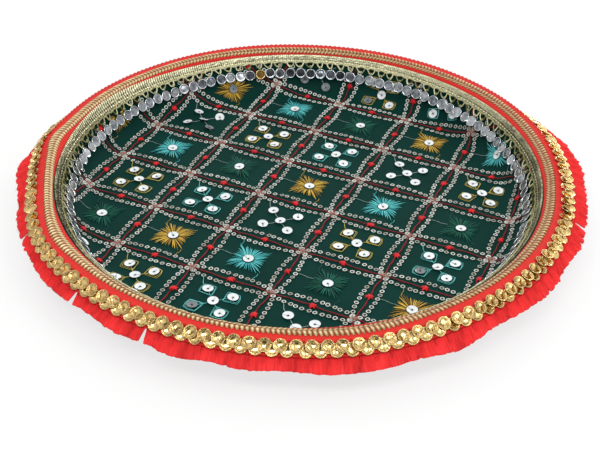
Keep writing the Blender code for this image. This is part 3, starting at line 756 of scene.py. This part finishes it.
# The stems are shorter behind, so the mirrors hang a little higher
raised = 0.0009 * hump(middle, np.radians(110), 0.7)
pitch = 2 * np.pi / MIRROR_COUNT
each = (MIRROR_COUNT, 1)
share = np.linspace(0, 1, 8)
stems = []
for hand, fall, apart in ((-1, 1.0, 0.0), (1, 0.9, 0.22)):
    run = CROCHET_TOP - 0.0006 - (CROCHET_TOP - CROCHET_BOTTOM - 0.0008 - raised[:, None]) * share
    spread = (rng.uniform(0.05, 0.3, each) + apart) * (1 - share ** 2.2 * fall)
    a = middle[:, None] + hand * pitch * (spread + 0.03) + rng.normal(0, 0.001, each) * share
    run = run + rng.normal(0, 0.0003, each) * np.sin(np.pi * share)
    lift = CORD_LIFT + 0.0001 * np.sin(6 * share) - 0.0008 * in_front(a)
    stems.append(polar(run, a, lift))
stem = tubes(np.concatenate(stems), rng.uniform(0.00032, 0.00058, (2 * MIRROR_COUNT, 1)), 0.00035, 6)
# At the two sides the cord lies in the lace's shade
tones = rng.uniform(0.0, 1.1, 2 * MIRROR_COUNT) - 0.4 * np.cos(np.tile(middle, 2)) ** 4
# The chain has four links to a mirror
a = full_turn(MIRROR_COUNT * 12)
link = np.cos(MIRROR_COUNT * 4 * a)
run = CROCHET_TOP - 0.0004 + 0.0004 * np.cos(MIRROR_COUNT * a) + 0.0001 * link
path = polar(run, a, CORD_LIFT - 0.0008 * in_front(a))[None]
heads = tubes(path, 0.0006 + 0.0002 * link, 0.0004, 6, True)
b = full_turn(12)
run = CROCHET_BOTTOM + 0.0009 + raised[:, None] + 0.0006 * np.sin(b)
eyes = polar(run, middle[:, None] + 0.0045 * np.cos(b), CORD_LIFT)
piece("crochet_loops", [
    on_cloth(heads, gold_cord, np.repeat(0.5 - 0.45 * np.cos(a) ** 4, 6)),
    on_cloth(stem, gold_cord, np.repeat(tones, 48)),
    on_cloth(tubes(eyes, 0.00026, 0.00024, 4, True), gold_cord, 0.4),
], "crochet_thread", "crochet_edging")


# Hanging mirrors. Round foil mirrors in thin silver rims hang side by side from the
# crochet, rest against the wall and tip a little each their own way.

MIRROR_TOP = 0.14515
MIRROR_DIAMETER = 0.0070
# Which one, behind, is gilt
GILDED = 34

# Silvered foil under a clear face: its dark middle is a painted reflection of the dark in front, and its
# bright polished rim a painted highlight
foil = clouded(0.0025, 1.4, "silvered_mirror_foil", "#c3c9d0", "#5d646c", "#eef3f5", 0.16, 1.0)[0]
# The same foil in gilt: tan gold, brown in the middle from the same painted dark reflection
gilt_foil = toned("gilded_mirror_foil", "#d8b673", "#8a6228", "#f6e2a6", 0.2, 1.0)[0]

rng = np.random.default_rng(43)
radius = MIRROR_DIAMETER / 2
disc = turned([
    (0.0009, 0.0), (radius - 0.0004, 0.0), (radius, 0.00015), (radius, 0.00035), (radius - 0.0002, 0.0006),
    (radius - 0.00045, 0.0006), (radius - 0.0006, 0.00045), (radius - 0.00065, 0.00042), (0.0020, 0.00050),
    (0.0009, 0.00054),
], 20)
run = MIRROR_TOP - radius + raised + rng.normal(0, 0.00016, MIRROR_COUNT)
a = middle + rng.normal(0, 0.0016, MIRROR_COUNT)
lift = HANGING_LIFT + 0.00005 + 0.00035 * (np.arange(MIRROR_COUNT) % 2)
flat = polar(run, a, lift)
# Each hangs a little off the wall at its foot, most of all at the two sides
lean = rng.normal(0, 0.08, (2, MIRROR_COUNT)) + np.stack([0.13 * np.cos(a) ** 3, 0.02 * np.sin(a)])
on_rim = from_middle(disc[0]) > radius - 0.0005
# The middles' painted reflection is paler at the two sides, where they would show the backdrop, and the rims'
# painted highlight is duller there
reflection_at_sides = np.cos(a)[:, None] ** 2
tones = np.where(on_rim, 0.9 - 0.3 * reflection_at_sides, rng.uniform(-0.1, 0.35, (MIRROR_COUNT, 1)) + 0.35 * reflection_at_sides)
parts = []
for mat, these in ((foil, np.arange(MIRROR_COUNT) != GILDED), (gilt_foil, [GILDED])):
    discs, faces = set_down(disc, flat[these], 0.0, lean[:, these])
    parts.append((discs, faces, mat, np.clip(tones[these], 0, 1)))
piece("round_mirrors", parts, "mirror_foil", "hanging_mirrors")


# Rim ribbon. Red grosgrain wraps the rolled rim, runs level outwards to a fold and
# slopes down to its outer edge. Its ribs run across it, and its edges are stitched.

WALL_RUN = 0.0193
ROLL_RADIUS = 0.0018
RIBBON_FACE = 0.0026
ROLL_OFF = CORNER_RADIUS + ROLL_RADIUS
ROLL_R = BASE_RADIUS + ROLL_OFF * np.sin(WALL_LEAN) + WALL_RUN * np.cos(WALL_LEAN)
ROLL_Z = SHEET + CORNER_RADIUS - ROLL_OFF * np.cos(WALL_LEAN) + WALL_RUN * np.sin(WALL_LEAN)
WRAP = np.radians(74)
LEVEL = 0.0091
DROP = np.radians(40)
SLOPE = 0.0073
ARC = RIBBON_FACE * WRAP
FOLD = ARC + LEVEL
RIBBON_RIBS = 900
STITCHES = 300

# Where hand work has pushed the rim in or out: direction in degrees, by how much, how wide
PUSHES = ((28, 0.0009, 16), (85, -0.0016, 22), (150, 0.0004, 12), (171, 0.0015, 6), (190, -0.0019, 9),
          (211, 0.0012, 8), (242, -0.0008, 10), (281, 0.0012, 11), (312, -0.0007, 14), (349, -0.0005, 7))


def humps_round(a, humps):
    """Sum of humps round the rim, each with its direction, height and width.

    A hump's distance is the angle to its direction, the shorter way round.
    """
    direction, height, width = np.transpose(humps)
    off = (a[..., None] - np.radians(direction) + np.pi) % (2 * np.pi) - np.pi
    return np.sum(height * hump(off, 0.0, np.radians(width)), axis=-1)


def slope_at(a):
    """The slope's angle: steep in front and behind, less to the left, half to the right.

    The share lost is 0.32 of the cosine squared and 0.18 of the cosine. Behind to both
    sides the ribbon is pulled down almost upright, by a hump of the fourth power.
    """
    beside = np.abs(a - np.radians(94))
    upright = (0.42 + 0.3 * np.clip(np.cos(a), 0, 1)) * hump(beside, np.radians(48), 0.42, 4)
    return DROP * (1 - 0.32 * np.cos(a) ** 2 - 0.18 * np.cos(a)) + upright


def on_ribbon(run, lift, a):
    """Place points by their run from the ribbon's inner edge, lift off its face, and turn.

    The face is an arc about the rim's roll, then level up to the fold, then a slope. It is
    pressed down over the roll. Past the arc, the rim's pushes move it in or out.
    """
    drop = slope_at(a)
    wrap = np.clip(run / RIBBON_FACE - WRAP, -WRAP, 0.0)
    level = np.clip(run - ARC, 0.0, LEVEL)
    slope = np.maximum(run - FOLD, 0.0)
    tilt = wrap + drop * np.clip((run - FOLD + 0.0005) / 0.001, 0.0, 1.0)
    r = ROLL_R + RIBBON_FACE * np.sin(wrap) + level + slope * np.cos(drop) + lift * np.sin(tilt)
    r = r + humps_round(a, PUSHES) * np.clip((run - ARC - 0.002) / 0.004, 0.0, 1.0)
    pressed = (0.0005 + 0.0002 * in_front(a)) * np.clip(1 - (run - ARC) / 0.0028, 0.0, 1.0) ** 2
    z = ROLL_Z + RIBBON_FACE * np.cos(wrap) - slope * np.sin(drop) + lift * np.cos(tilt) - pressed
    return polar(r, a, z)


# Polyester grosgrain: strong red with a dull silk shine, and painted shade down between its ribs
grosgrain = toned("red_grosgrain_ribbon", "#d8251f", "#920f0c", "#dd2f26", 0.6, Specular_IOR_Level=0.15)[0]

a = full_turn(RIBBON_RIBS * 4)
rib = np.abs(np.cos(np.pi * np.arange(RIBBON_RIBS * 4) / 4))
run = np.concatenate([np.linspace(0, ARC, 7), np.linspace(ARC, FOLD, 7)[1:],
                      np.linspace(FOLD, FOLD + SLOPE, 9)[1:]])[:, None]
# The edges swell where the sewing thread pulls them, every three millimetres or so
pull = np.abs(np.sin(STITCHES / 2 * a))
puff = 0.0003 * pull + 0.0001 * np.sin(a * 41)
from_edge = np.minimum(run, run[-1] - run)
height = 0.00009 * (rib - 1) + 0.6 * puff * hump(from_edge, 0.0, 0.0012)
height = height + hump(run, FOLD, 0.0011) * (0.0001 + 0.0006 * pull)
run = run - puff * hump(run, 0.0, 0.001)
# The thread at the fold leaves dark ticks
tick = hump(run, FOLD, 0.0009) * np.cos(STITCHES / 2 * a) ** 4
# The plain back needs few rows of points
back = on_ribbon(run[[0, 3, 6, 12, 16, 20]], -0.0005, a)
# The tone is darker between the ribs, a painted shade
ribbon = closed_band(back, on_ribbon(run, height, a), grosgrain, 0.7 + 0.3 * rib - 0.9 * tick)
piece("grosgrain_ribbon", [ribbon], "ribbon_red", "rim_ribbon")


# Gold braid. Puffy flat gimp of gilt thread, sewn along the ribbon's inner side: small
# oblique bars, crossed by a finer row of beads along its inner edge.

BRAID_WIDTH = 0.0054
BARS = 370

# Gilt thread: pale antique gold, with a painted highlight on each bar's crown and painted brown shade in the
# gaps
gimp = toned("antique_gilt_gimp", "#cbb071", "#74300f", "#ffe8ac", 0.35, 0.45, Specular_IOR_Level=0.12)[0]

rng = np.random.default_rng(51)
columns = BARS * 8
a = full_turn(columns)
u = np.linspace(0.0, 1.0, 18)[:, None]
inner = u < 0.4
v = np.where(inner, u / 0.4, (u - 0.4) / 0.6)
near = in_front(a)
slant = np.where(inner, 0.6 * v, 0.6 - 0.7 * v * (1 - 0.6 * near))
bar = np.abs(np.sin(np.pi * (np.arange(columns) / 8 + slant)))
bulge = np.sin(np.pi * np.clip(v, 0.02, 0.98)) ** 0.7
loud = np.repeat(rng.uniform(0.6, 1.0, BARS), 8)
beads = (0.00025 + 0.0002 * bar) * (1 - 0.9 * near)
bars = (0.0004 + 0.0006 * bar * loud) * (1 - 0.35 * near)
height = 0.0001 + np.where(inner, beads, bars) * bulge
scallop = 0.0013 * (bar - 0.8) * np.clip(np.abs(2 * u - 1) * 3 - 2, 0, 1) * np.sign(u - 0.5)
# In front it is flat and pulled in over the roll, and it spreads there and behind
width = BRAID_WIDTH * (1 + 0.1 * near + 0.14 * np.clip(np.sin(a), 0, 1))
run = ARC - 0.0006 + humps_round(a, PUSHES) + width * u + scallop - 0.0011 * near
# The tone is painted light and shade: bright on the crowns, darker towards each bulge's edges and in the
# gaps, paler to the left and darker to the right, and uneven at random
tones = np.where(inner, 0.75 * bar, 1.15 * bar ** 2.2 * loud) * np.maximum(bulge, 0.45)
tones = tones * (0.88 - 0.25 * np.cos(a)) + rng.uniform(-0.12, 0.12, height.shape)
back = on_ribbon(run[[0, 4, 9, 13, 17]], 0.0001, a)
braid = closed_band(back, on_ribbon(run, height, a), gimp, tones)
piece("gilt_gimp_braid", [braid], "braid_gold", "rim_braid")


# Gold sequin rows. Round gold cup sequins are sewn edge over edge in two rows down
# the ribbon's slope, the lower row half a step on and just over the ribbon's edge.

SEQUIN_COUNT = 132

# Gold metallised film: yellow gold, with a painted hot highlight where the cup faces the lamp and painted
# brown shade at its hole
gold_film, tree, shader, tone, share = toned("gold_sequin_film", "#d3a850", "#5c2a0c", "#ffdf94", 0.17, 1.0)
place = add_node(tree, "TexCoord").outputs["Object"]
emboss = add_node(tree, "TexNoise", {"Vector": place, "Scale": 1 / 0.0008, "Detail": 1.0}).outputs["Fac"]
mottle = add_node(tree, "MapRange", {
    "Value": emboss, "From Min": 0.3, "From Max": 0.7, "To Min": -0.2, "To Max": 0.2,
}).outputs["Result"]
mottle = add_node(tree, "Math", {0: mottle, 1: tone}, operation="ADD", use_clamp=True)
tree.links.new(mottle.outputs["Value"], share)

# Only the cup's middle is polished. Its wide rim is pressed with fine grains and duller
dull = add_node(tree, "MapRange", {
    "Value": tone, "From Min": 0.72, "From Max": 0.9, "To Min": 1.0, "To Max": 0.0,
}).outputs["Result"]
polish = add_node(tree, "MapRange", {"Value": dull, "To Min": 0.04, "To Max": 0.26})
tree.links.new(polish.outputs["Result"], shader.inputs["Roughness"])
bump = add_node(tree, "Bump", {"Height": emboss, "Strength": dull, "Distance": 0.0003})
tree.links.new(bump.outputs["Normal"], shader.inputs["Normal"])

cup_gold = turned([
    (0.0001, 0.00000), (0.0018, 0.00006), (0.0024, 0.00036), (0.0034, 0.00090), (0.0035, 0.00100),
    (0.0033, 0.00100), (0.0024, 0.00054), (0.0018, 0.00028), (0.0011, 0.00015), (0.0004, 0.00010),
    (0.0001, 0.00008),
], 16, True)
# Each ring's tone paints a hot highlight in the polished middle and shade at the hole
ring_tone = np.repeat([0.0, 0.1, 0.2, 0.3, 0.7, 0.62, 0.5, 0.95, 1.0, 1.0, 0.1], 16)
rng = np.random.default_rng(52)
for name, run, turn, lift, lean in (
    ("upper", FOLD + 0.0029, 0.0, 0.0005, -0.10), ("lower", FOLD + 0.0048, 0.5, 0.0002, 0.06),
):
    a = full_turn(SEQUIN_COUNT, turn + rng.normal(0, 0.03, SEQUIN_COUNT))
    # Behind the rows hang lower, out of sight under the fold. In front and at the sides
    # they sit higher
    c = np.cos(a)
    behind = np.clip(np.sin(a) * (1 + 1.2 * np.abs(c)), 0, 1)
    higher = 0.0006 * in_front(a) + 0.0018 * c ** 8
    middle = on_ribbon(run + 0.0027 * behind - higher, lift - 0.0009 * behind, a)
    # Each faces off the slope, but for the row's lean and a little of its own
    drop = slope_at(a)
    down = polar(np.cos(drop), a, -np.sin(drop))
    side = polar(1.0, a + np.pi / 2, 0.0)
    off = np.cross(down, side)
    tip = rng.normal(0, 0.06, (2, SEQUIN_COUNT))
    normal = off + down * (lean - 0.15 * behind + tip[0])[:, None] + side * (tip[1] + 0.05)[:, None]
    cups, faces = stand(cup_gold, middle, np.cross(side, normal), normal)
    # The dull rims at the right catch a little more light
    pale = rng.uniform(0.7, 1.1, SEQUIN_COUNT) + 0.35 * np.clip(c, 0, 1) ** 2
    tones = np.clip(ring_tone * np.where(ring_tone < 0.8, pale[:, None], 1.0), 0, 1)
    piece(f"gold_sequins_{name}", [(cups, faces, gold_film, tones)], "sequin_gold", f"sequin_row_{name}")


# Red fringe. A dense brush of red threads, bound under the ribbon's outer edge. It
# falls in soft folds to a ragged foot, and parts in a few places.

FRINGE_ROOT = FOLD + 0.0066
FRINGE_REACH = 0.16
FRINGE_LENGTH = 0.0070
FRINGE_DROP = np.radians(42)
FRINGE_SPLITS = np.radians((203.75, 225.75, 242.5, 342.0))
STRANDS = 2600
# Where the brush was cut longer or shorter: direction in degrees, by how much, how wide
TRIMS = ((278, 0.0014, 14), (4, 0.0022, 20), (181, 0.0026, 5), (213, -0.0014, 9), (243, 0.0008, 6),
         (18, -0.0012, 6), (168, -0.0040, 6), (219, 0.0014, 5), (249, 0.0020, 4),
         (297, 0.0022, 6), (318, 0.0020, 6), (337, 0.0016, 6))
# Where it stands out instead of hanging: direction, by how many degrees, how wide
FLARES = ((8, 22, 30), (180, 16, 6))

# Soft-spun polyester threads: bright red, matt, with painted shade where the folds turn in
brush = toned("red_brush_fringe_thread", "#f02228", "#a81519", "#ff3f3f", 0.7, Specular_IOR_Level=0.1)[0]


def fringe_fold(a):
    """Height of the folds, one to a sequin with slower ones over them, and the cut length.

    Both are sums of sines, and the length has the trims as well.
    """
    fold = 0.0005 * np.sin(37 * a) + 0.0003 * np.sin(61 * a + 1.3) + 0.00028 * np.sin(SEQUIN_COUNT * a)
    ragged = 0.0005 * np.sin(17 * a) + 0.0003 * np.sin(29 * a + 1.0) + 0.0003 * np.abs(np.sin(66 * a + 0.7))
    side = np.cos(a) ** 2
    clump = 0.0009 * side * np.abs(np.sin(88 * a + 2 * np.sin(7 * a))) ** 0.6
    return fold * (1 - 0.5 * side), FRINGE_LENGTH + humps_round(a, TRIMS) + ragged + clump


def fringe_cut(a):
    """Share of the length that is left: a tenth at each split, by a hump of the fourth power."""
    gap = np.min(np.abs((a[..., None] - FRINGE_SPLITS + np.pi) % (2 * np.pi) - np.pi), axis=-1)
    return 1 - 0.9 * hump(gap, 0.0, 0.008, 4)


def hanging(run, up, a):
    """Place points by their run down the fringe from its root, their height off it, and turn."""
    drop = FRINGE_DROP - np.radians(humps_round(a, FLARES))
    down = polar(run * np.cos(drop) + up * np.sin(drop), a, up * np.cos(drop) - run * np.sin(drop))
    return on_ribbon(FRINGE_ROOT, -0.0008, a) + down


rng = np.random.default_rng(61)
columns = 2400
a = full_turn(columns)
down = np.linspace(0.0, 1.0, 8)[:, None]
fold, length = fringe_fold(a)
step = np.repeat(rng.normal(0, 0.00045, columns // 4), 4) * (0.25 + 0.75 * np.cos(a) ** 2)
run = (length + step) * fringe_cut(a) * down
# The binding pulls a nick into its root between the sequins, and the nick is darkened with painted shade
nick_and_shade = (0.5 + 0.5 * np.cos(SEQUIN_COUNT * a)) ** 8 * np.clip(1 - 1.6 * down, 0, 1)
up = fold * down - 0.0008 * nick_and_shade
# The tone paints light and shade: paler on the folds that stand out, darker where they turn in and in the
# nicks, and paler towards the foot
tones = 0.72 + 420 * fold * down - 0.9 * nick_and_shade + 0.2 * down + rng.uniform(-0.05, 0.05, columns)
parts = [closed_band(hanging(run, up - 0.0007, a), hanging(run, up, a), brush, tones)]

# Loose strands lie over it, each as long as the brush is at its place, or nearly
a = full_turn(STRANDS, rng.uniform(-0.4, 0.4, STRANDS))
fold, length = fringe_fold(a)
length = (length + rng.normal(-0.0002, 0.0005, STRANDS) * (0.3 + 0.7 * np.cos(a) ** 2)) * fringe_cut(a)
share = np.linspace(0, 1, 5)
run = length[:, None] * share
up = (fold + rng.uniform(-0.0001, 0.0002, STRANDS))[:, None] * share
turn = a[:, None] + rng.normal(0, 0.003, (STRANDS, 1)) * share ** 2
half = 0.00014 * np.array([1.0, 1.2, 1.1, 0.9, 0.3])[:, None]
corner = full_turn(4)
up = up[..., None] + half * np.sin(corner)
strands = hanging(run[..., None], up, turn[..., None] + half * np.cos(corner) / FRINGE_REACH)
# The strands carry the same painted light and shade of the folds
tones = 0.75 + 420 * fold[:, None] * share + rng.uniform(-0.05, 0.15, (STRANDS, 1))
parts.append((strands, repeated(ring_faces(5, 4), STRANDS, 20), brush, np.clip(tones, 0, 1)[..., None]))
piece("brush_fringe", parts, "fringe_red", "red_fringe")
